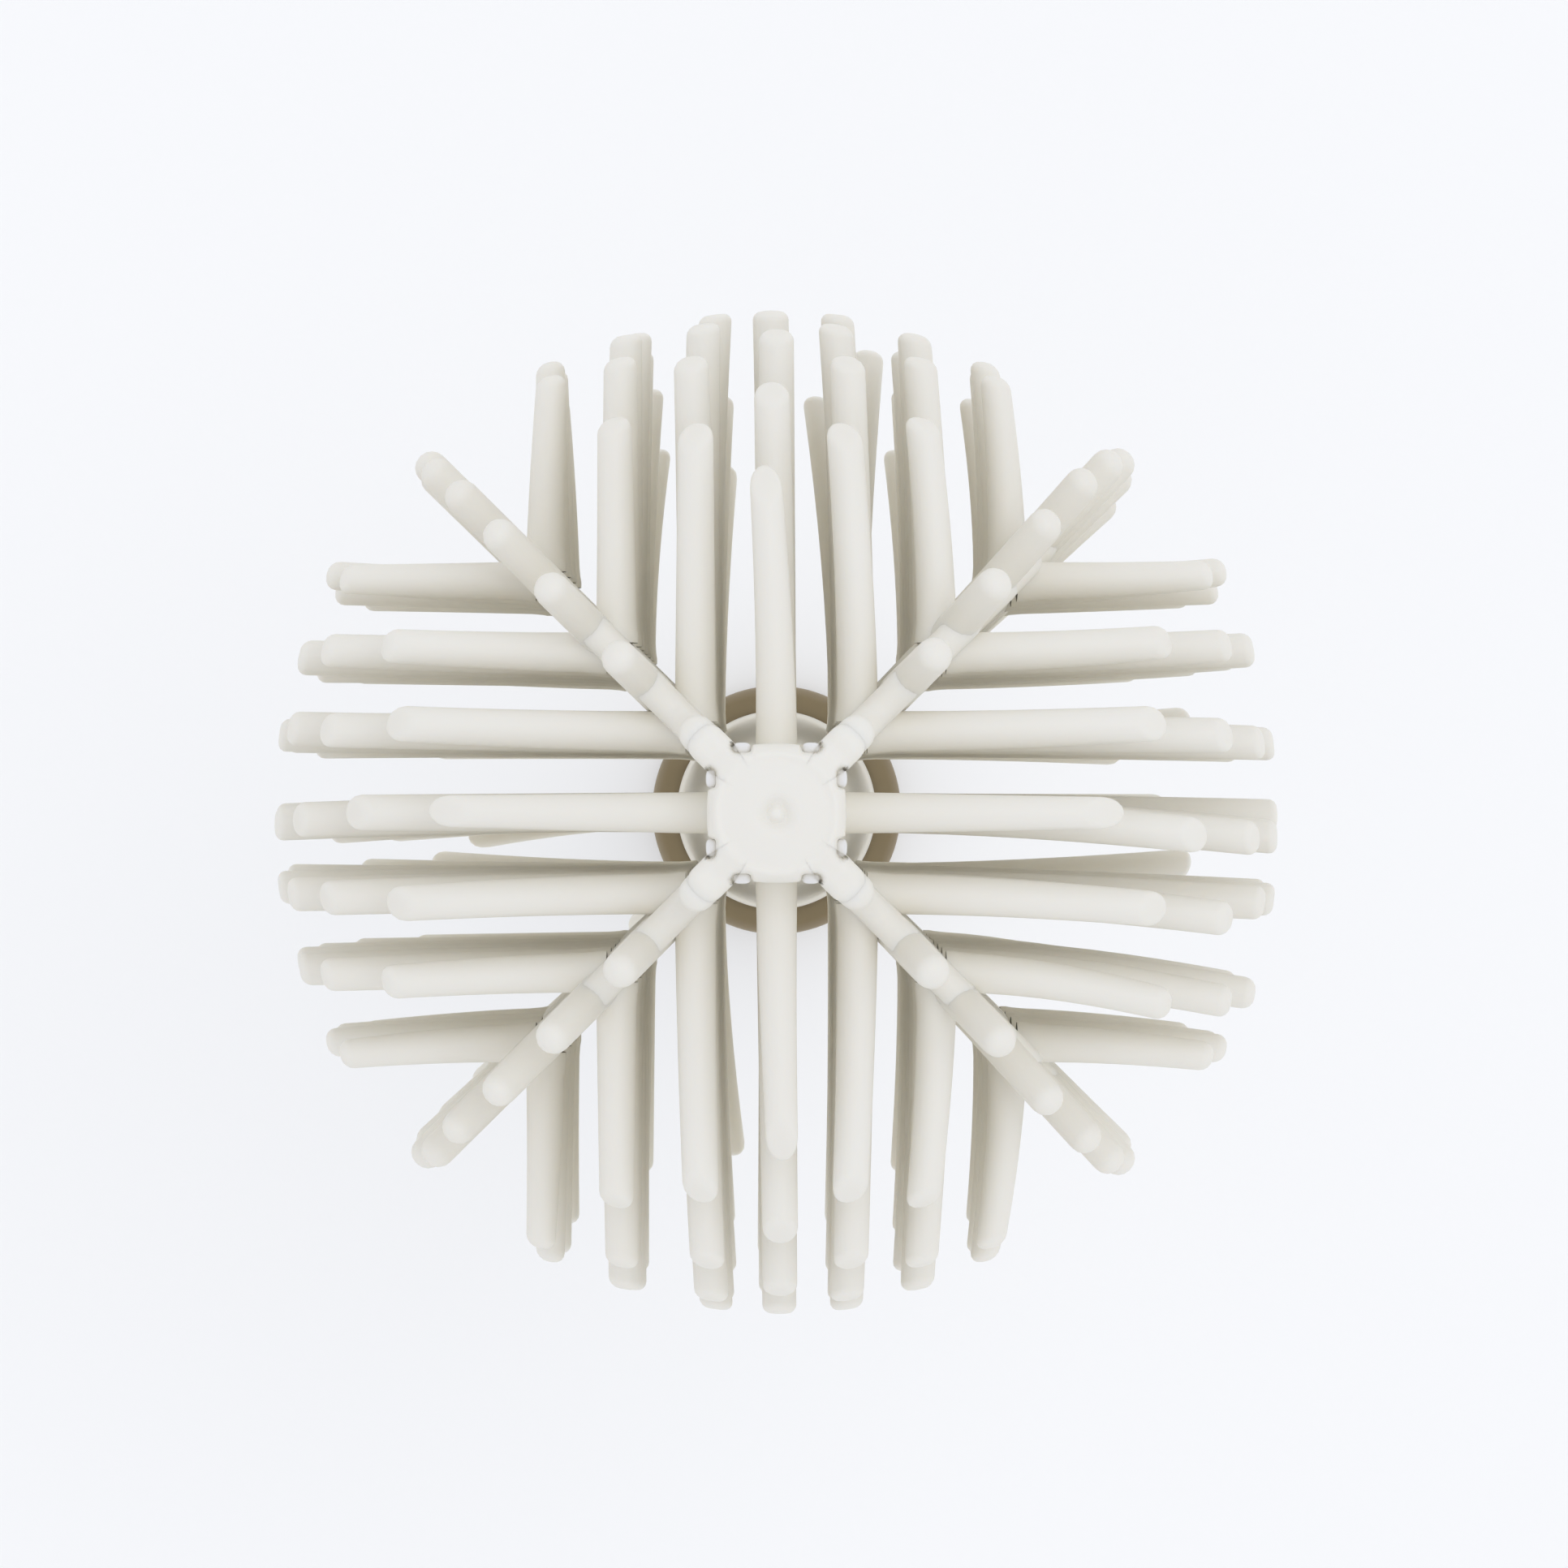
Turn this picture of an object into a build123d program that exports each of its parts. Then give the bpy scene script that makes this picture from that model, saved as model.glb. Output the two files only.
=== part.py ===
from build123d import *
from math import sqrt
import os

# Ball-headed cleaning brush in millimetres. The origin is the middle of the foot's flat underside,
# +Z runs up the handle to the tip of the head, and +X and +Y run along the middle fingers.

# Whole brush
overall_height = 250.0
ball_radius = 40.0  # every fingertip ends on this ball
ball_z = overall_height - ball_radius

# Parallel fingers, which fill the four quarters of the ball
finger_root_radius = 1.5
finger_tip_radius = 1.3
column_pitch = 5.93
outer_column = 3
level_pitch = 3.9  # neighbouring columns are staggered by one level
outer_level = 8
level_shift = 0.7
shortest_finger = 14.0
root_overlap = 0.6  # how far a finger starts behind the middle of the web it grows from

# Fans of fingers on the four diagonals, joined by a web
fan_root_radius = 1.45
fan_tip_radius = 1.3
fan_step = 12.0
fan_count = 13
fan_start = 14.0
web_radius = 29.5  # at the middle of the ball
web_height = 34.0  # at the poles
web_thickness = 2.4
crown_reach = 8.0  # the web is filled up to the tip disc inside this radius
crown_drop = 1.9
crown_depth = 14.0

# Sleeve of the soft head and the stiff core inside it
sleeve_tip_radius = 4.8
sleeve_foot_radius = 9.0
sleeve_rounding = 0.9
head_foot_z = ball_z - 42.0
core_tip_radius = 3.3
core_foot_radius = 7.3
core_top_z = overall_height - 1.4
lug_width = 1.3
lug_height = 0.9
lug_reach = 5.0
lug_offset = 2.45  # on each side of a middle finger

gate_radius = 0.65  # moulding gate in the middle of the tip disc
gate_dish_radius = 1.5
gate_dish_depth = 0.35

# Screw joint between the head and the collar
spigot_radius = 5.0
spigot_length = 14.0
spigot_bore_radius = 3.2
spigot_clearance = 0.06
socket_spare = 1.0
nose_radius = 6.1  # the core's nose carries the seal ring
nose_length = 1.0
seal_radius = 8.0
seal_height = 1.2
seat_clearance = 0.3

# Collar on top of the handle
collar_radius = 11.3
collar_rim_height = 4.0
collar_rounding = 0.9
collar_height = 14.0
collar_floor = 3.0

# Handle tube, and the plugs that the collar and the foot cap push into its ends
tube_radius = 8.5
tube_wall = 1.2
tube_foot_z = 22.0
tube_top_z = head_foot_z - collar_height
fit_gap = 0.05
neck_radius = 8.9
plug_radius = tube_radius - tube_wall - fit_gap
plug_bore_radius = 4.4
plug_length = 14.0
o_ring_radius = 0.7
o_ring_from_shoulder = 7.0

# Soft grip
grip_foot_z = 42.0
grip_top_z = 138.0
grip_end_radius = 9.7
grip_middle_radius = 11.4
groove_count = 9
groove_pitch = 8.0
groove_depth = 0.6
groove_round = 1.0
grip_rounding = 0.8

# Tie rod, which clamps the handle together, and what it runs through
rod_radius = 2.5
rod_foot_z = 6.0
insert_radius = 4.0
insert_length = 12.0
spacer_z = 88.0
spacer_height = 4.0
spacer_hole_radius = 1.3
spacer_hole_circle = 4.9
spacer_hole_count = 4

# Foot
foot_radius = 15.5
foot_gap = 0.9  # the pad holds the cap this far above the table
foot_rim_height = 3.0
foot_rounding = 1.0
foot_floor = 3.0
pad_radius = 13.4
pad_height = 2.4
pad_rounding = 0.4
nut_pocket_radius = 5.6
nut_pocket_top_z = 12.4
nut_corner_radius = 4.6
nut_height = 4.0
washer_radius = 5.0
washer_height = 1.0

ball_middle = (0, 0, ball_z)
standing = (Align.CENTER, Align.CENTER, Align.MIN)
hanging = (Align.CENTER, Align.CENTER, Align.MAX)
outward = (Align.MIN, Align.CENTER, Align.MAX)
socket_radius = spigot_radius + spigot_clearance
seal_foot_z = head_foot_z - seal_height
collar_top_z = head_foot_z - seat_clearance
insert_top_z = seal_foot_z - collar_floor
insert_foot_z = insert_top_z - insert_length
upper_o_ring_z = tube_top_z - o_ring_from_shoulder
lower_o_ring_z = tube_foot_z + o_ring_from_shoulder
o_ring_centre = plug_radius - o_ring_radius
grip_middle_z = (grip_foot_z + grip_top_z) / 2
grip_bulge = grip_middle_radius - grip_end_radius
washer_foot_z = nut_pocket_top_z - washer_height


def finger_levels(column):
    """Heights above the ball's middle of the fingers in one column of a quarter."""
    offset = abs(column) * column_pitch
    heights = []
    for level in range(-outer_level, outer_level + 1):
        height = level * level_pitch + level_shift
        reach = sqrt(max(ball_radius**2 - offset**2 - height**2, 0))
        if (level + column) % 2 == 0 and reach - offset > shortest_finger:
            heights.append(height)
    return heights


def finger_spots(column):
    """Where the fingers of one column start, on a plane that faces +Y."""
    start = abs(column) * column_pitch - root_overlap
    return [(column * column_pitch, height, max(start, 0)) for height in finger_levels(column)]


def finger_length(column):
    """Enough to run from the column's web to the outside of the ball."""
    return ball_radius - max(abs(column) * column_pitch - root_overlap, 0)


def cut_cylinder(radius, low_z, high_z):
    """Removes a round bore about Z from the part being built."""
    with Locations((0, 0, low_z)):
        Cylinder(radius, high_z - low_z, align=standing, mode=Mode.SUBTRACT)


def o_ring_groove(middle_z):
    """Cuts the square groove that holds an O-ring in a plug."""
    half_width = o_ring_radius + fit_gap
    with BuildSketch(Plane.XZ) as groove_outline:
        with Locations((plug_radius, middle_z)):
            Rectangle(4 * half_width, 2 * half_width)
    revolve(groove_outline.sketch, axis=Axis.Z, mode=Mode.SUBTRACT)


def turn(*corners):
    """Adds a solid turned about Z, with the given (radius, height) corners."""
    with BuildSketch(Plane.XZ) as outline:
        Polygon(*corners, align=None)
    revolve(outline.sketch, axis=Axis.Z)


# The stiff core: a tapered post with eight lugs at its tip, a nose that carries the seal ring,
# and a socket for the collar's spigot
with BuildPart() as head_core:
    turn(
        (0, head_foot_z - nose_length),
        (nose_radius, head_foot_z - nose_length),
        (nose_radius, head_foot_z),
        (core_foot_radius, head_foot_z),
        (core_tip_radius, core_top_z),
        (0, core_top_z),
    )
    for quarter in range(4):
        for side in (-1, 1):
            heading = Location((0, 0, core_top_z), (0, 0, 90 * quarter))
            with Locations(heading * Location((0, side * lug_offset, 0))):
                Box(lug_reach, lug_width, lug_height, align=outward)
    cut_cylinder(socket_radius, head_foot_z - nose_length, head_foot_z + spigot_length + socket_spare)
head_core.part.label = "head core"

# The parallel fingers of the quarter that points along +Y, cut to length by the ball
quarter_plane = Plane(origin=ball_middle, x_dir=(-1, 0, 0), z_dir=(0, 1, 0))
with BuildPart(quarter_plane) as quarter_fingers:
    for column in range(-outer_column, outer_column + 1):
        with Locations(*finger_spots(column)):
            Cone(
                finger_root_radius,
                finger_tip_radius,
                finger_length(column),
                align=standing,
            )
    Sphere(ball_radius, mode=Mode.INTERSECT)

# The fan of fingers on one diagonal
with BuildPart() as fan_fingers:
    for finger in range(1, fan_count + 1):
        lean = Location(ball_middle, (0, 0, 45)) * Location((0, 0, 0), (0, finger * fan_step, 0))
        with Locations(lean * Location((0, 0, fan_start))):
            Cone(
                fan_root_radius,
                fan_tip_radius,
                ball_radius,
                align=standing,
            )
    with Locations(ball_middle):
        Sphere(ball_radius, mode=Mode.INTERSECT)

# The soft head: sleeve and tip disc, two crossing webs, four quarters and four fans
with BuildPart() as bristle_head:
    with BuildSketch(Plane.XZ):
        Polygon(
            (0, head_foot_z),
            (sleeve_foot_radius, head_foot_z),
            (sleeve_tip_radius, overall_height),
            (0, overall_height),
            align=None,
        )
    revolve(axis=Axis.Z)
    fillet(edges().sort_by(Axis.Z)[-1], sleeve_rounding)
    for side in (-1, 1):
        with BuildSketch(Plane(origin=ball_middle, x_dir=(side, 1, 0), z_dir=(1, -side, 0))):
            Ellipse(web_radius, web_height)
            Polygon(
                (-crown_reach, ball_radius - crown_drop),
                (crown_reach, ball_radius - crown_drop),
                (crown_reach + crown_drop, ball_radius - crown_depth),
                (-crown_reach - crown_drop, ball_radius - crown_depth),
                align=None,
            )
        extrude(amount=web_thickness / 2, both=True)
    for quarter in range(4):
        add(fan_fingers.part, rotation=(0, 0, 90 * quarter))
    for quarter in range(4):
        add(quarter_fingers.part, rotation=(0, 0, 90 * quarter))
    add(head_core.part, mode=Mode.SUBTRACT)
    cut_cylinder(socket_radius, head_foot_z, head_foot_z + spigot_length + socket_spare)
    cut_cylinder(gate_dish_radius, overall_height - gate_dish_depth, overall_height)
    with Locations((0, 0, overall_height - gate_dish_depth)):
        Cylinder(gate_radius, gate_dish_depth, align=standing)
bristle_head.part.label = "soft bristle head"

# Flat ring, stretched over the core's nose, that seals the head against the collar
with BuildPart() as seal_ring:
    with Locations((0, 0, head_foot_z)):
        Cylinder(seal_radius, seal_height, align=hanging)
    cut_cylinder(nose_radius + fit_gap, seal_foot_z, head_foot_z)
seal_ring.part.label = "head seal ring"

# Collar: a flange under the head, the spigot that the head screws onto, and a plug for the tube
with BuildPart() as collar:
    turn(
        (0, collar_top_z),
        (collar_radius, collar_top_z),
        (collar_radius, collar_top_z - collar_rim_height),
        (neck_radius, tube_top_z),
        (plug_radius, tube_top_z),
        (plug_radius, tube_top_z - plug_length),
        (0, tube_top_z - plug_length),
    )
    fillet(edges().filter_by(GeomType.CIRCLE).group_by(SortBy.RADIUS)[-1], collar_rounding)
    cut_cylinder(seal_radius + seat_clearance, seal_foot_z, collar_top_z)
    with Locations((0, 0, seal_foot_z)):
        Cylinder(spigot_radius, head_foot_z + spigot_length - seal_foot_z, align=standing)
    cut_cylinder(spigot_bore_radius, insert_top_z + collar_floor, head_foot_z + spigot_length)
    cut_cylinder(insert_radius + fit_gap, insert_foot_z, insert_top_z)
    cut_cylinder(plug_bore_radius, tube_top_z - plug_length, insert_foot_z)
    o_ring_groove(upper_o_ring_z)
collar.part.label = "collar"

# Rubber ring between the collar's plug and the tube
with BuildPart() as upper_o_ring:
    with Locations((0, 0, upper_o_ring_z)):
        Torus(o_ring_centre, o_ring_radius)
upper_o_ring.part.label = "upper O-ring"

# Brass bush in the collar, which the tie rod screws into
with BuildPart() as rod_insert:
    with Locations((0, 0, insert_foot_z)):
        Cylinder(insert_radius, insert_length, align=standing)
    cut_cylinder(rod_radius + fit_gap, insert_foot_z, insert_top_z)
rod_insert.part.label = "threaded rod insert"

# Steel rod from the foot to the collar
with BuildPart() as tie_rod:
    with Locations((0, 0, rod_foot_z)):
        Cylinder(rod_radius, insert_top_z - fit_gap - rod_foot_z, align=standing)
tie_rod.part.label = "tie rod"

# Handle tube
with BuildPart() as handle_tube:
    with Locations((0, 0, tube_foot_z)):
        Cylinder(tube_radius, tube_top_z - tube_foot_z, align=standing)
    cut_cylinder(tube_radius - tube_wall, tube_foot_z, tube_top_z)
handle_tube.part.label = "handle tube"

# Soft barrel-shaped grip with shallow grooves, stretched over the tube
with BuildPart() as grip_sleeve:
    with BuildSketch(Plane.XZ):
        with BuildLine():
            Polyline(
                (grip_end_radius, grip_foot_z),
                (tube_radius + fit_gap, grip_foot_z),
                (tube_radius + fit_gap, grip_top_z),
                (grip_end_radius, grip_top_z),
            )
            ThreePointArc(
                (grip_end_radius, grip_top_z),
                (grip_middle_radius, grip_middle_z),
                (grip_end_radius, grip_foot_z),
            )
        make_face()
        fillet(vertices().group_by(Axis.X)[1], grip_rounding)
        for groove in range(groove_count):
            from_middle = (groove - (groove_count - 1) / 2) * groove_pitch
            sag = grip_bulge * (2 * from_middle / (grip_top_z - grip_foot_z)) ** 2
            groove_middle = grip_middle_radius - sag + groove_round - groove_depth
            with Locations((groove_middle, grip_middle_z + from_middle)):
                Circle(groove_round, mode=Mode.SUBTRACT)
    revolve(axis=Axis.Z)
grip_sleeve.part.label = "grip sleeve"

# Ring that keeps the tie rod in the middle of the tube
with BuildPart() as rod_spacer:
    with Locations((0, 0, spacer_z)):
        Cylinder(plug_radius, spacer_height, align=standing)
    cut_cylinder(rod_radius + fit_gap, spacer_z, spacer_z + spacer_height)
    with Locations((0, 0, spacer_z)):
        with PolarLocations(spacer_hole_circle, spacer_hole_count):
            Cylinder(spacer_hole_radius, spacer_height, align=standing, mode=Mode.SUBTRACT)
rod_spacer.part.label = "rod spacer"

# Foot cap: a flared foot with a plug for the tube, a pocket for the nut and a seat for the pad
with BuildPart() as foot_cap:
    turn(
        (0, foot_gap),
        (foot_radius, foot_gap),
        (foot_radius, foot_gap + foot_rim_height),
        (neck_radius, tube_foot_z),
        (plug_radius, tube_foot_z),
        (plug_radius, tube_foot_z + plug_length),
        (0, tube_foot_z + plug_length),
    )
    fillet(edges().filter_by(GeomType.CIRCLE).group_by(SortBy.RADIUS)[-1], foot_rounding)
    cut_cylinder(pad_radius + fit_gap, foot_gap, pad_height)
    cut_cylinder(nut_pocket_radius, pad_height, nut_pocket_top_z)
    cut_cylinder(rod_radius + fit_gap, nut_pocket_top_z, nut_pocket_top_z + foot_floor)
    cut_cylinder(plug_bore_radius, nut_pocket_top_z + foot_floor, tube_foot_z + plug_length)
    o_ring_groove(lower_o_ring_z)
foot_cap.part.label = "foot cap"

# Rubber ring between the foot cap's plug and the tube
with BuildPart() as lower_o_ring:
    with Locations((0, 0, lower_o_ring_z)):
        Torus(o_ring_centre, o_ring_radius)
lower_o_ring.part.label = "lower O-ring"

# Washer and nut on the rod's lower end
with BuildPart() as rod_washer:
    with Locations((0, 0, washer_foot_z)):
        Cylinder(washer_radius, washer_height, align=standing)
    cut_cylinder(rod_radius + fit_gap, washer_foot_z, nut_pocket_top_z)
rod_washer.part.label = "rod washer"

with BuildPart() as rod_nut:
    with BuildSketch(Plane.XY.offset(washer_foot_z - nut_height)):
        RegularPolygon(nut_corner_radius, 6)
    extrude(amount=nut_height)
    cut_cylinder(rod_radius + fit_gap, washer_foot_z - nut_height, washer_foot_z)
rod_nut.part.label = "rod nut"

# Soft pad that the brush stands on; it closes the nut's pocket
with BuildPart() as foot_pad:
    Cylinder(pad_radius, pad_height, align=standing)
    fillet(edges().sort_by(Axis.Z)[0], pad_rounding)
foot_pad.part.label = "foot pad"

pieces = {
    "bristle_head": bristle_head,
    "head_core": head_core,
    "seal_ring": seal_ring,
    "collar": collar,
    "upper_o_ring": upper_o_ring,
    "rod_insert": rod_insert,
    "tie_rod": tie_rod,
    "handle_tube": handle_tube,
    "grip_sleeve": grip_sleeve,
    "rod_spacer": rod_spacer,
    "foot_cap": foot_cap,
    "lower_o_ring": lower_o_ring,
    "rod_washer": rod_washer,
    "rod_nut": rod_nut,
    "foot_pad": foot_pad,
}
os.makedirs("parts", exist_ok=True)
for node, piece in pieces.items():
    export_step(piece.part, f"parts/{node}.step")
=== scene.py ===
import math
import random

import bpy
from mathutils import Matrix, Vector


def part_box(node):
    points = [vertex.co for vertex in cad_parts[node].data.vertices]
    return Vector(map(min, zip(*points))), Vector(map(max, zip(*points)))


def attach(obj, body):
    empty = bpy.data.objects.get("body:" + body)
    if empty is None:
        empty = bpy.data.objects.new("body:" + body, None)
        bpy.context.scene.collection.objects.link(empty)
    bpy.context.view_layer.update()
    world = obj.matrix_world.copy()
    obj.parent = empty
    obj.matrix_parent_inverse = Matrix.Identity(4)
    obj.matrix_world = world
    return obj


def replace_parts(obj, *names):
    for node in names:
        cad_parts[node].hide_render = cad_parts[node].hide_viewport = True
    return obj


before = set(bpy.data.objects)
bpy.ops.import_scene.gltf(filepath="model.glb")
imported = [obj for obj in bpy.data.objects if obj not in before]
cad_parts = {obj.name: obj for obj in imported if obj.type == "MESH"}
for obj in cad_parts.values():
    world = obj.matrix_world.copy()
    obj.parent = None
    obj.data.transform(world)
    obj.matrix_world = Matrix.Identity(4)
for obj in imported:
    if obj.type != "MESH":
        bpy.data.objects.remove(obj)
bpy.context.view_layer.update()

random.seed(7)

MM = 0.001
TAU = 2 * math.pi


# ---- sizes in millimetres


def box_mm(node):
    """Lowest and highest corner of a CAD node in millimetres."""
    low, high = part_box(node)
    return [c / MM for c in low], [c / MM for c in high]


head_low, head_high = box_mm("bristle_head")
core_low, core_high = box_mm("head_core")
collar_low, collar_high = box_mm("collar")
insert_low, insert_high = box_mm("rod_insert")
tube_top_z = box_mm("handle_tube")[1][2]
ring_low, ring_high = box_mm("upper_o_ring")

# ball and sleeve
BALL = head_high[0]
TIP_Z = head_high[2]
BALL_Z = TIP_Z - BALL
HEAD_FOOT_Z = head_low[2]
SLEEVE_TIP = 4.8
SLEEVE_FOOT = 9.0
SLEEVE_ROUND = 0.2
RECESS_RADIUS = 7.35
RECESS_DEPTH = 1.0

# fingers and webs
COLUMN_PITCH = 5.93
LEVEL_PITCH = 3.9
LEVEL_SHIFT = 0.7
SHORTEST = 14.0
FINGER_ROOT = 1.5
FINGER_SIDES = 18
FAN_STEP = math.radians(12)
FAN_COUNT = 13
FAN_TIP = 1.3
WEB_RADIUS = 29.5
WEB_HEIGHT = 34.0
WEB_HALF = 1.2
WEB_INNER = 6.0
WEB_RISE = 1.9
WEB_ROWS = 120

# tip disc
DISC_SIZE = 4.9
DISC_SQUARENESS = 2.8
SPOKE_REACH = 6.9
SPOKE_HALF = 1.4
RIM_ROUND = 1.0
CORNER_BLEND = 0.7
FLAT_RADIUS = 3.4
RIDGE_HEIGHT, RIDGE_RADIUS, RIDGE_WIDTH = 0.16, 4.3, 0.35
DIP_DEPTH, DIP_RADIUS, DIP_WIDTH = 0.35, 6.0, 0.9
NUB_HEIGHT, NUB_RADIUS = 0.5, 0.55
DISH_DEPTH, DISH_RADIUS = 0.58, 1.05

# core, its lugs and the screw joint
CORE_TOP_Z = core_high[2]
CORE_STEM = 6.1
CORE_FLANGE = 7.3
CORE_NOSE = 3.3
LUG_OFFSET = 2.45
LUG_OUT = 4.67
LUG_HALF = Vector((0.42, 0.64, 0.45))
LUG_HOLLOW_HALF = 0.35
LUG_HOLLOW_RADIUS = 0.4
SPIGOT_RADIUS = 5.0
SOCKET_RADIUS = 5.06
SPIGOT_TOP_Z = collar_high[2]
SOCKET_TOP_Z = SPIGOT_TOP_Z + 1.0
THREAD_PITCH = 3.0
THREAD_DEPTH = 0.55
THREAD_ROWS = 60

# collar
FLANGE_DROP = 0.3
FLANGE_ROUND = 0.9
FLANGE_HEIGHT = 3.7
SEAT_DROP = 1.2
SEAT_RADIUS = 8.3
CHAMFER = 0.15
NECK_RADIUS = 8.9
PLUG_CHAMFER = 0.3
PLUG_BORE = 4.4
ROD_BORE = 3.2
GROOVE_DEPTH = 1.5
CLEARANCE = 0.05


# ---- mesh building


class Shape:
    """Vertices and faces of one mesh, in millimetres in the frame."""

    def __init__(self):
        self.points = []
        self.faces = []

    def ring(self, points):
        start = len(self.points)
        self.points.extend(points)
        return list(range(start, len(self.points)))

    def bridge(self, a, b, closed=True):
        n = len(a)
        for i in range(n if closed else n - 1):
            j = (i + 1) % n
            self.faces.append((a[i], a[j], b[j], b[i]))

    def cap(self, ring, point, flip=False):
        middle = self.ring([point])[0]
        n = len(ring)
        for i in range(n):
            a, b = ring[i], ring[(i + 1) % n]
            self.faces.append((b, a, middle) if flip else (a, b, middle))

    def build(self, name, material, body, sharp=45):
        mesh = bpy.data.meshes.new(name)
        mesh.from_pydata([(x * MM, y * MM, z * MM) for x, y, z in self.points], [], self.faces)
        mesh.validate()
        mesh.polygons.foreach_set("use_smooth", [True] * len(mesh.polygons))
        mesh.set_sharp_from_angle(angle=math.radians(sharp))
        mesh.materials.append(material)
        piece = bpy.data.objects.new(name, mesh)
        bpy.context.scene.collection.objects.link(piece)
        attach(piece, body)
        return piece


def lathe(shape, profile, steps=96, radius_at=None):
    """Turns (radius, height) corners about Z. A zero radius at either end closes the shape."""
    inner = [corner for corner in profile if corner[0] > 0]
    rings = []
    for radius, height in inner:
        ring = []
        for i in range(steps):
            angle = TAU * i / steps
            r = radius_at(radius, height, angle) if radius_at else radius
            ring.append((r * math.cos(angle), r * math.sin(angle), height))
        rings.append(shape.ring(ring))
    for a, b in zip(rings, rings[1:]):
        shape.bridge(a, b)
    if profile[0][0] == 0:
        shape.cap(rings[0], (0, 0, profile[0][1]), flip=True)
    if profile[-1][0] == 0:
        shape.cap(rings[-1], (0, 0, profile[-1][1]))


def arc(middle, radius, start, end, count=6):
    """Points on an arc in a profile, from one angle to another in degrees."""
    points = []
    for i in range(count + 1):
        angle = math.radians(start + (end - start) * i / count)
        points.append((middle[0] + radius * math.cos(angle), middle[1] + radius * math.sin(angle)))
    return points


def thread_height(height, angle):
    """From 0 at the root to 1 at the crest of the right-hand thread on the spigot."""
    phase = (height / THREAD_PITCH - angle / TAU) % 1
    wave = 0.5 + 1.1 * math.sin(TAU * phase)
    return min(max(wave, 0.0), 1.0)


# ---- fingers


def reach(point, axis):
    """How far along axis from point the ball's surface is, about the ball's middle."""
    along = point.dot(axis)
    return -along + math.sqrt(max(along * along - point.dot(point) + BALL * BALL, 0))


def finger(shape, root, axis, side, tip_radius, lean=(0, 0), edge=0.62, flare=0.0, trim=0.0, slant=1.0):
    """One moulded finger. It tapers a little, leans more towards its tip, and ends near the ball
    with a rounded edge. Positions are about the ball's middle."""
    near = 1.3
    up = axis.cross(side)
    length = reach(root, axis) - trim

    def rim(angle):
        return side * math.cos(angle) + up * math.sin(angle)

    def place(angle, share, along):
        radius = FINGER_ROOT + (tip_radius - FINGER_ROOT) * max(along, 0) / length
        radius += flare * max(0.0, 1 - max(along, 0) / near) ** 2.2
        bend = (max(along, 0) / length) ** 1.7
        offset = rim(angle) * (radius * share) + side * (lean[0] * bend) + up * (lean[1] * bend)
        point = root + axis * along + offset
        return (point.x, point.y, point.z + BALL_Z)

    def end(angle, share):
        outer = reach(root + rim(angle) * (tip_radius * share), axis) - trim
        return length + slant * (outer - length)

    angles = [TAU * i / FINGER_SIDES for i in range(FINGER_SIDES)]
    rings = [[place(a, 1, along) for a in angles] for along in (-0.5, 0.0, 0.4, near)]
    body = 8
    for k in range(1, body + 1):
        rings.append([place(a, 1, near + (end(a, 1) - edge - near) * k / body) for a in angles])
    flat = max(1 - edge / tip_radius, 0.05)
    for turn in (0.25, 0.5, 0.75, 1.0):
        share = flat + (1 - flat) * math.cos(turn * math.pi / 2)
        drop = edge * (1 - math.sin(turn * math.pi / 2))
        rings.append([place(a, share, end(a, share) - drop) for a in angles])
    built = [shape.ring(r) for r in rings]
    for a, b in zip(built, built[1:]):
        shape.bridge(a, b)
    shape.cap(built[-1], place(0, 0, length))


def sleeve_radius(height):
    """Radius of the tapered sleeve at a height above the ball's middle."""
    share = (height + BALL_Z - HEAD_FOOT_Z) / (TIP_Z - HEAD_FOOT_Z)
    return SLEEVE_FOOT + (SLEEVE_TIP - SLEEVE_FOOT) * share


def levels(column):
    """Levels of a column's fingers, and their heights above the ball's middle."""
    offset = abs(column) * COLUMN_PITCH
    found = []
    for level in range(-8, 9):
        height = level * LEVEL_PITCH + LEVEL_SHIFT
        length = math.sqrt(max(BALL**2 - offset**2 - height**2, 0)) - offset
        if (level + column) % 2 == 0 and length > SHORTEST:
            found.append((level, height))
    return found


# How far, in millimetres, each column's fingertips have set away from straight: the columns from
# -3 to 3 of the quarters that point along +Y, +X, -Y and -X. The first number is a top finger's,
# and the second is added towards the bottom of the ball.
SET = {
    "+Y": [(0.9, -2.0), (-0.4, 2.0), (0.0, 1.2), (-0.6, 0.6), (-1.1, 0.2), (-1.15, 0.1), (-0.9, -0.6)],
    "+X": [(-1.3, 0.6), (-2.35, -0.6), (-1.2, 0.3), (-0.3, 0.0), (0.2, -1.0), (0.8, 0.0), (0.3, -0.4)],
    "-Y": [(-0.5, 1.0), (0.1, -0.2), (0.4, 1.4), (0.3, -0.2), (-0.6, 0.5), (-0.9, 0.1), (-1.3, 0.2)],
    "-X": [(-0.9, 0.8), (-0.8, 0.8), (-0.8, 1.6), (0.2, -2.0), (0.5, -0.8), (0.5, -0.4), (0.3, -0.5)],
}
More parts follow.
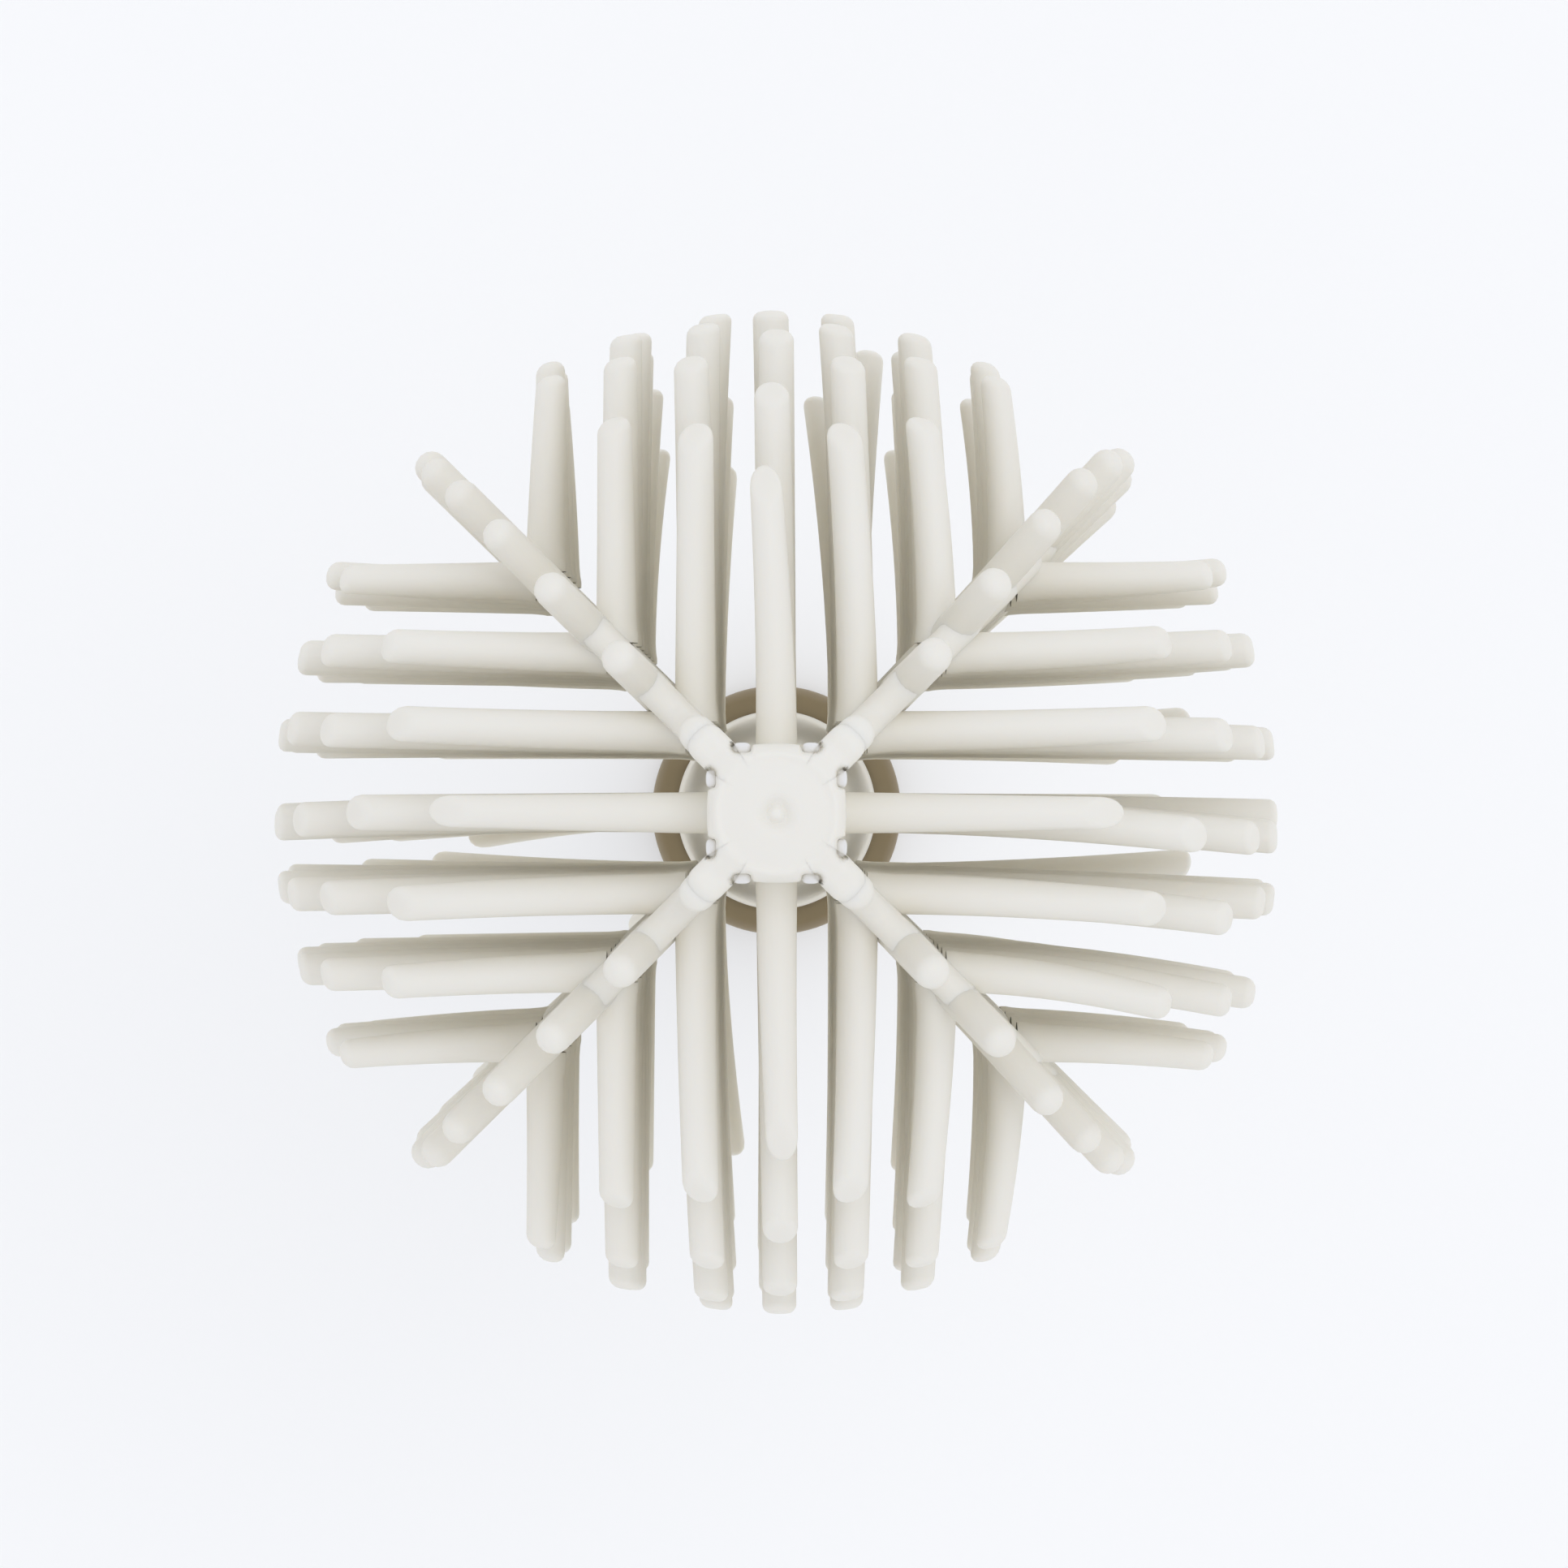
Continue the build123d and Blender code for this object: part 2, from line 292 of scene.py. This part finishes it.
# Single fingers that have set differently from their column
STRAY = {
    ("+Y", -1, 5): -0.5,
    ("+Y", -1, 1): 1.1,
    ("+Y", 0, 8): -0.8,
    ("+Y", 0, 6): -0.35,
    ("+Y", 0, 4): 0.0,
    ("+Y", 1, 5): -0.6,
    ("+Y", 1, 3): -1.4,
    ("+Y", 1, -5): -2.4,
    ("+Y", 1, -3): 1.7,
    ("+X", 0, 8): 0.0,
    ("+X", 0, 6): -1.7,
    ("+X", 0, 4): -2.0,
    ("+X", 0, 2): -2.0,
    ("+X", 1, 7): 0.6,
    ("+X", 1, 5): -0.15,
    ("+X", 1, 3): -0.6,
    ("+X", 1, -5): 1.6,
    ("+X", 3, 1): 1.2,
    ("+X", -1, 5): -2.1,
    ("+X", -1, -5): 1.4,
    ("-X", 0, 4): -0.6,
    ("-X", 0, 2): -0.95,
    ("-X", 3, 1): 0.9,
}
# Tip radius, rounding of the end, and how far the end follows the ball, by distance from column 0
ENDS = [(1.32, 0.65, 1.0), (1.3, 0.7, 0.8), (1.25, 0.8, 0.5), (1.12, 0.9, 0.35)]
QUARTERS = {
    "+Y": (Vector((0, 1, 0)), Vector((1, 0, 0))),
    "+X": (Vector((1, 0, 0)), Vector((0, 1, 0))),
    "-Y": (Vector((0, -1, 0)), Vector((1, 0, 0))),
    "-X": (Vector((-1, 0, 0)), Vector((0, 1, 0))),
}

head = Shape()
for name, (axis, side) in QUARTERS.items():
    # the finger's own up is axis x side, which points down for half of the quarters
    upright = axis.cross(side).z
    for column in range(-3, 4):
        offset = column * COLUMN_PITCH
        first, more = SET[name][column + 3]
        tip_radius, edge, slant = ENDS[abs(column)]
        for level, height in levels(column):
            start = sleeve_radius(height) - 0.15 if column == 0 else abs(offset) + WEB_HALF
            root = axis * start + side * offset + Vector((0, 0, height))
            down = (30 - height) / 60
            wander = random.gauss(0, 0.07 + 0.15 * down)
            sag = random.gauss(-0.1, 0.12 + 0.12 * down)
            sideways = STRAY.get((name, column, level), first + more * down + wander)
            finger(
                head,
                root,
                axis,
                side,
                1.15 if level == 8 else tip_radius,
                lean=(sideways, sag * upright),
                edge=edge,
                flare=0.0 if column == 0 else 0.12,
                trim=0.55 if level == 6 else 0.0,
                slant=slant,
            )

# ---- diagonals

DIAGONALS = []
for diagonal in range(4):
    azimuth = math.radians(45 + 90 * diagonal)
    out = Vector((math.cos(azimuth), math.sin(azimuth), 0))
    DIAGONALS.append((out, Vector((-out.y, out.x, 0))))

# How far the fan fingers above and below the ball's middle have set sideways, for each diagonal
FAN_SET = [(1.2, -1.0), (0.0, 0.3), (0.0, -1.2), (-0.8, 0.4)]


def fan_axis(out, theta):
    """Direction at an angle from the tip on one diagonal."""
    return out * math.sin(theta) + Vector((0, 0, math.cos(theta)))


for (out, normal), (upper, lower) in zip(DIAGONALS, FAN_SET):
    for n in range(1, FAN_COUNT + 1):
        theta = n * FAN_STEP
        axis = fan_axis(out, theta)
        start = 10.0
        for _ in range(8):
            start = 0.8 * sleeve_radius(start * math.cos(theta)) / math.sin(theta)
        low = min(max((n - 6) / 3, 0.0), 1.0)
        rise = min(max((n - 2) / 2.5, 0.0), 1.0)
        sideways = upper * rise * (1 - low) + lower * low + random.gauss(0, 0.04 + 0.02 * n)
        finger(
            head,
            axis * min(start, 24.0),
            axis,
            normal,
            FAN_TIP,
            lean=(sideways, random.gauss(0, 0.1)),
            edge=1.2,
            trim=0.3 if n == 1 else 0.0,
        )


def web_rim(theta):
    """Reach of the web's free edge at an angle from the tip. It rises to meet each finger."""
    ellipse = 1 / math.hypot(math.sin(theta) / WEB_RADIUS, math.cos(theta) / WEB_HEIGHT)
    return ellipse + WEB_RISE * math.cos(math.pi * theta / FAN_STEP) ** 2


# Webs, with a full round along the free edge
for out, normal in DIAGONALS:
    strips = []
    for k in range(WEB_ROWS + 1):
        theta = math.radians(9 + 153 * k / WEB_ROWS)
        axis = fan_axis(out, theta)
        straight = web_rim(theta) - WEB_HALF
        reaches = [WEB_INNER + (straight - WEB_INNER) * s for s in (0.0, 0.5, 1.0)]
        row = [axis * r - normal * WEB_HALF for r in reaches]
        for bend in (30, 60, 90, 120, 150):
            turn = math.radians(bend)
            row.append(axis * (straight + WEB_HALF * math.sin(turn)) - normal * (WEB_HALF * math.cos(turn)))
        row += [axis * r + normal * WEB_HALF for r in reversed(reaches)]
        strips.append(head.ring([(p.x, p.y, p.z + BALL_Z) for p in row]))
    for a, b in zip(strips, strips[1:]):
        head.bridge(b, a, closed=False)

# ---- crown: the tip disc and the first stretch of the spokes


def star_distance(x, y):
    """Signed distance to the outline of the tip disc and its four spokes, negative inside, with a
    hollow in the rim round each of the core's lugs."""
    power = DISC_SQUARENESS
    disc = (abs(x) ** power + abs(y) ** power) ** (1 / power) - DISC_SIZE
    u, v = abs(x + y) / math.sqrt(2), abs(x - y) / math.sqrt(2)
    spoke = math.hypot(max(max(u, v) - SPOKE_REACH, 0), min(u, v)) - SPOKE_HALF
    blend = max(0.0, CORNER_BLEND - abs(disc - spoke))
    star = min(disc, spoke) - blend * blend / (4 * CORNER_BLEND)
    outer, inner = max(abs(x), abs(y)), min(abs(x), abs(y))
    beside = max(abs(inner - LUG_OFFSET) - LUG_HOLLOW_HALF, 0)
    lug = math.hypot(beside, outer - LUG_OUT) - LUG_HOLLOW_RADIUS
    # the hollow's edge is rounded less than the rim, so that it stays clear of the spokes
    return max(star, -2.6 * lug)


def gate_height(radius):
    """The moulding gate: a low nub in a shallow dish."""
    nub = NUB_HEIGHT * math.exp(-((radius / NUB_RADIUS) ** 4))
    dish = DISH_DEPTH * math.exp(-((radius / DISH_RADIUS) ** 4))
    return nub - dish


def hill(radius, middle, width):
    """From 0 to 1 at a middle radius, smoothly over a width."""
    return math.exp(-(((radius - middle) / width) ** 2))


def crown_height(x, y):
    """Height of the crown above the ball's middle: the gate, a low ridge, a dip, and a round rim."""
    radius = math.hypot(x, y)
    height = math.sqrt(BALL**2 - radius**2)
    height += RIDGE_HEIGHT * hill(radius, RIDGE_RADIUS, RIDGE_WIDTH)
    height -= DIP_DEPTH * hill(radius, DIP_RADIUS, DIP_WIDTH)
    height += gate_height(radius * (1 + 0.06 * math.sin(3 * math.atan2(y, x) + 0.6)))
    inside = min(max(RIM_ROUND + star_distance(x, y), 0), RIM_ROUND)
    return height - RIM_ROUND + math.sqrt(RIM_ROUND**2 - inside**2)


def outline_radius(angle):
    """How far out the crown's outline is in a direction."""
    low, high = 0.0, 12.0
    for _ in range(24):
        middle = (low + high) / 2
        if star_distance(middle * math.cos(angle), middle * math.sin(angle)) < 0:
            low = middle
        else:
            high = middle
    return low


def crown_directions():
    """Directions from the axis, closer together where the outline's radius changes quickly."""
    found = []
    degrees = 0.0
    widest, narrowest = 1.6, 0.1
    jump = 0.25
    while degrees < 360:
        here = math.radians(degrees)
        found.append(here)
        step = widest
        while step > narrowest:
            there = here + math.radians(step)
            if abs(outline_radius(there) - outline_radius(here)) < jump:
                break
            step /= 2
        degrees += step
    return found


directions = crown_directions()
outline = [outline_radius(angle) for angle in directions]


def crown_ring(radii, depth=0.0):
    """Adds a ring of points on the crown's surface, or straight below it."""
    spots = [(r * math.cos(angle), r * math.sin(angle)) for r, angle in zip(radii, directions)]
    return head.ring([(x, y, BALL_Z + crown_height(x, y) - depth) for x, y in spots])


# circles in the disc, then rings that grow from a circle to the outline, closer near the rim
circles = (0.1, 0.25, 0.4, 0.55, 0.7, 0.85, 1.0, 1.2, 1.7, 2.4, 3.0, FLAT_RADIUS)
crown = [crown_ring([radius] * len(directions)) for radius in circles]
grown_rings = 30
for k in range(1, grown_rings + 1):
    grown = 1 - (1 - k / grown_rings) ** 1.8
    crown.append(crown_ring([FLAT_RADIUS + (radius - FLAT_RADIUS) * grown for radius in outline]))
crown += [crown_ring(outline, depth) for depth in (3.0, 8.0)]
for a, b in zip(crown, crown[1:]):
    head.bridge(b, a)
head.cap(crown[0], (0, 0, BALL_Z + crown_height(0, 0)))

# Sleeve, down to the open socket in its foot
lathe(
    head,
    [
        (SLEEVE_TIP - 0.9, TIP_Z - 1.9),
        (SLEEVE_TIP - 0.1, TIP_Z - 2.6),
        (SLEEVE_FOOT, HEAD_FOOT_Z + SLEEVE_ROUND),
        *arc((SLEEVE_FOOT - SLEEVE_ROUND, HEAD_FOOT_Z + SLEEVE_ROUND), SLEEVE_ROUND, 0, -90, 3)[1:],
        (RECESS_RADIUS, HEAD_FOOT_Z),
        (RECESS_RADIUS, HEAD_FOOT_Z + RECESS_DEPTH),
    ],
)

# ---- core: post, nose, threaded socket and lugs

core = Shape()
core_low_z = core_low[2]
socket_height = SOCKET_TOP_Z - core_low_z
socket = [
    (SOCKET_RADIUS, SOCKET_TOP_Z - socket_height * k / THREAD_ROWS) for k in range(THREAD_ROWS + 1)
]


def socket_radius(radius, height, angle):
    """The socket's thread fills the gaps of the spigot's, and fades out at both ends."""
    if radius != SOCKET_RADIUS:
        return radius
    fade = min(max(min(height - core_low_z - 0.8, SOCKET_TOP_Z - 1.5 - height), 0.0), 1.0)
    return radius - 0.8 * THREAD_DEPTH * fade * (1 - thread_height(height, angle))


lathe(
    core,
    [
        (0, SOCKET_TOP_Z),
        *socket,
        (CORE_STEM, core_low_z),
        (CORE_STEM, HEAD_FOOT_Z),
        (CORE_FLANGE, HEAD_FOOT_Z),
        (CORE_NOSE, CORE_TOP_Z),
        (0, CORE_TOP_Z),
    ],
    radius_at=socket_radius,
)


def signed_power(value, power):
    """A power that keeps the value's sign, which squares a round shape off."""
    return math.copysign(abs(value) ** power, value)


def lug(turned, side):
    """One lug of the core: a soft-cornered block, closed at top and bottom."""
    middle = Vector((LUG_OUT - 0.1, side * LUG_OFFSET, CORE_TOP_Z - LUG_HALF.z))
    rings = []
    for k in range(9):
        latitude = math.radians(-88 + 176 * k / 8)
        flat = math.cos(latitude) ** 0.5
        ring = []
        for i in range(24):
            angle = TAU * i / 24
            x = LUG_HALF.x * flat * signed_power(math.cos(angle), 0.7)
            y = LUG_HALF.y * flat * signed_power(math.sin(angle), 0.7)
            z = LUG_HALF.z * signed_power(math.sin(latitude), 0.8)
            ring.append(tuple(turned @ (middle + Vector((x, y, z)))))
        rings.append(core.ring(ring))
    for a, b in zip(rings, rings[1:]):
        core.bridge(a, b)
    half_height = Vector((0, 0, LUG_HALF.z))
    core.cap(rings[-1], tuple(turned @ (middle + half_height)))
    core.cap(rings[0], tuple(turned @ (middle - half_height)), flip=True)


for quarter in range(4):
    for side in (-1, 1):
        lug(Matrix.Rotation(quarter * TAU / 4, 3, "Z"), side)

# ---- collar: flange, plug with its O-ring groove, and threaded spigot

collar = Shape()
collar_radius = collar_high[0]
flange_top_z = HEAD_FOOT_Z - FLANGE_DROP
seat_z = HEAD_FOOT_Z - SEAT_DROP
plug_radius = ring_high[0]
groove_radius = plug_radius - GROOVE_DEPTH
groove_low_z, groove_high_z = ring_low[2] - CLEARANCE, ring_high[2] + CLEARANCE
pocket_radius = insert_high[0] + CLEARANCE
round_radius = collar_radius - FLANGE_ROUND
spigot_height = SPIGOT_TOP_Z - 0.4 - seat_z
spigot = [
    (SPIGOT_RADIUS, seat_z + spigot_height * k / THREAD_ROWS) for k in range(THREAD_ROWS + 1)
]


def spigot_radius(radius, height, angle):
    """The spigot's thread, which fades out at both ends."""
    if radius != SPIGOT_RADIUS:
        return radius
    fade = min(max(min(height - seat_z - 1.2, SPIGOT_TOP_Z - 0.6 - height), 0.0), 1.0)
    return radius - THREAD_DEPTH * (fade * (1 - thread_height(height, angle)) + (1 - fade) * 0.5)


lathe(
    collar,
    [
        (0, insert_high[2]),
        (pocket_radius, insert_high[2]),
        (pocket_radius, insert_low[2]),
        (PLUG_BORE, insert_low[2]),
        (PLUG_BORE, collar_low[2]),
        (plug_radius - PLUG_CHAMFER, collar_low[2]),
        (plug_radius, collar_low[2] + PLUG_CHAMFER),
        (plug_radius, groove_low_z),
        (groove_radius, groove_low_z),
        (groove_radius, groove_high_z),
        (plug_radius, groove_high_z),
        (plug_radius, tube_top_z),
        (NECK_RADIUS, tube_top_z),
        *arc((round_radius, flange_top_z - FLANGE_HEIGHT), FLANGE_ROUND, -15, 0, 3),
        *arc((round_radius, flange_top_z - FLANGE_ROUND), FLANGE_ROUND, 0, 90, 8),
        (SEAT_RADIUS + CHAMFER, flange_top_z),
        (SEAT_RADIUS, flange_top_z - CHAMFER),
        (SEAT_RADIUS, seat_z),
        *spigot,
        (SPIGOT_RADIUS - THREAD_DEPTH - 0.3, SPIGOT_TOP_Z),
        (ROD_BORE + CHAMFER, SPIGOT_TOP_Z),
        (ROD_BORE, SPIGOT_TOP_Z - CHAMFER),
        (ROD_BORE, seat_z),
        (0, seat_z),
    ],
    radius_at=spigot_radius,
)

# ---- materials


def material(name, colour, deep, roughness, bump=0.02, grain=400.0, soft=0.0, metal=0.0):
    """Procedural moulded or turned surface: broad and fine colour change, and surface grain."""
    made = bpy.data.materials.new(name)
    made.use_nodes = True
    nodes, links = made.node_tree.nodes, made.node_tree.links
    shader = nodes["Principled BSDF"]
    place = nodes.new("ShaderNodeTexCoord")

    def noise(scale, detail):
        node = nodes.new("ShaderNodeTexNoise")
        node.inputs["Scale"].default_value = scale
        node.inputs["Detail"].default_value = detail
        links.new(place.outputs["Object"], node.inputs["Vector"])
        return node

    broad = noise(55.0, 3.0)
    tones = nodes.new("ShaderNodeValToRGB")
    tones.color_ramp.elements[0].position = 0.3
    tones.color_ramp.elements[0].color = (*deep, 1)
    tones.color_ramp.elements[1].position = 0.7
    tones.color_ramp.elements[1].color = (*colour, 1)
    links.new(broad.outputs["Fac"], tones.inputs["Fac"])
    links.new(tones.outputs["Color"], shader.inputs["Base Color"])
    fine = noise(grain, 4.0)
    rough = nodes.new("ShaderNodeMapRange")
    rough.inputs["To Min"].default_value = roughness - 0.07
    rough.inputs["To Max"].default_value = roughness + 0.07
    links.new(fine.outputs["Fac"], rough.inputs["Value"])
    links.new(rough.outputs["Result"], shader.inputs["Roughness"])
    bumps = nodes.new("ShaderNodeBump")
    bumps.inputs["Strength"].default_value = 0.16
    bumps.inputs["Distance"].default_value = bump * MM
    links.new(fine.outputs["Fac"], bumps.inputs["Height"])
    links.new(bumps.outputs["Normal"], shader.inputs["Normal"])
    shader.inputs["Metallic"].default_value = metal
    if soft:
        shader.inputs["Subsurface Weight"].default_value = soft
        shader.inputs["Subsurface Radius"].default_value = (1.0, 0.8, 0.55)
        shader.inputs["Subsurface Scale"].default_value = 0.8 * MM
    return made


soft_white = material("soft_white", (0.84, 0.805, 0.70), (0.825, 0.785, 0.675), 0.55, bump=0.03, soft=0.15)
core_white = material("core_white", (0.82, 0.80, 0.75), (0.78, 0.76, 0.70), 0.42)
# handle_beige is partly the plastic's own beige and partly painted shade: it is darkened to stand for the
# shade that falls on the collar under the head. The foot cap shares this darkened colour.
handle_beige = material("handle_beige", (0.305, 0.24, 0.138), (0.28, 0.22, 0.125), 0.45)
tube_white = material("tube_white", (0.74, 0.72, 0.66), (0.71, 0.69, 0.62), 0.36)
grip_white = material("grip_white", (0.68, 0.66, 0.60), (0.63, 0.61, 0.55), 0.62, bump=0.06)
seal_rubber = material("seal_rubber", (0.57, 0.55, 0.51), (0.52, 0.50, 0.46), 0.5)
pad_rubber = material("pad_rubber", (0.48, 0.46, 0.43), (0.43, 0.41, 0.38), 0.7, bump=0.05)
black_rubber = material("black_rubber", (0.02, 0.02, 0.02), (0.012, 0.012, 0.012), 0.55)
brass = material("brass", (0.72, 0.52, 0.22), (0.62, 0.44, 0.18), 0.28, metal=1.0)
steel = material("rod_steel", (0.62, 0.62, 0.63), (0.52, 0.52, 0.53), 0.3, metal=1.0)
zinc = material("zinc_plate", (0.66, 0.67, 0.68), (0.58, 0.59, 0.6), 0.35, metal=1.0)

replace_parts(head.build("soft_head", soft_white, "head", sharp=50), "bristle_head")
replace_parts(core.build("lugged_core", core_white, "head"), "head_core")
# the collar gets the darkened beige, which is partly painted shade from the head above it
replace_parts(collar.build("threaded_collar", handle_beige, "handle"), "collar")

for node, finish in {
    "seal_ring": seal_rubber,
    "upper_o_ring": black_rubber,
    "rod_insert": brass,
    "tie_rod": steel,
    "handle_tube": tube_white,
    "grip_sleeve": grip_white,
    "rod_spacer": core_white,
    "foot_cap": handle_beige,
    "lower_o_ring": black_rubber,
    "rod_washer": zinc,
    "rod_nut": zinc,
    "foot_pad": pad_rubber,
}.items():
    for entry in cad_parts[node].material_slots:
        entry.material = finish

# ---- floor, light and camera

floor_paint = bpy.data.materials.new("floor")
floor_paint.use_nodes = True
floor_shader = floor_paint.node_tree.nodes["Principled BSDF"]
floor_shader.inputs["Base Color"].default_value = (0.98, 0.96, 0.89, 1)
floor_shader.inputs["Roughness"].default_value = 0.9
floor_mesh = bpy.data.meshes.new("floor")
floor_mesh.from_pydata([(-3, -3, 0), (3, -3, 0), (3, 3, 0), (-3, 3, 0)], [], [(0, 1, 2, 3)])
floor_mesh.materials.append(floor_paint)
floor = bpy.data.objects.new("floor", floor_mesh)
bpy.context.scene.collection.objects.link(floor)

ball = Vector((0, 0, BALL_Z * MM))
lamp_data = bpy.data.lights.new("key", "AREA")
lamp_data.shape = "DISK"
lamp_data.size = 2.0
lamp_data.energy = 13.0
lamp_data.color = (0.97, 1.0, 1.08)
lamp = bpy.data.objects.new("key", lamp_data)
bpy.context.scene.collection.objects.link(lamp)
lamp.location = ball + Vector((0.85, 0.55, 3.0))
lamp.rotation_euler = (ball - lamp.location).to_track_quat("-Z", "Y").to_euler()

world = bpy.data.worlds.new("studio")
world.use_nodes = True
dome = world.node_tree.nodes["Background"]
dome.inputs["Color"].default_value = (0.965, 1.0, 1.12, 1)
dome.inputs["Strength"].default_value = 0.9
bpy.context.scene.world = world
bpy.context.scene.view_settings.view_transform = "Standard"
bpy.context.scene.view_settings.exposure = 0.0

camera_data = bpy.data.cameras.new("camera")
camera_data.sensor_fit = "HORIZONTAL"
camera_data.sensor_width = 36.0
camera_data.lens = 91.7
camera_data.clip_start = 0.01
camera_data.clip_end = 20
camera = bpy.data.objects.new("camera", camera_data)
bpy.context.scene.collection.objects.link(camera)
camera.location = ball + Vector((0, 0.001, 8 * BALL * MM))
aim = ball + Vector((0.0006, 0.0022, 0))
back = (camera.location - aim).normalized()
right = Vector((0, 1, 0)).cross(back).normalized()
camera.rotation_euler = Matrix((right, back.cross(right), back)).transposed().to_euler()
bpy.context.scene.camera = camera
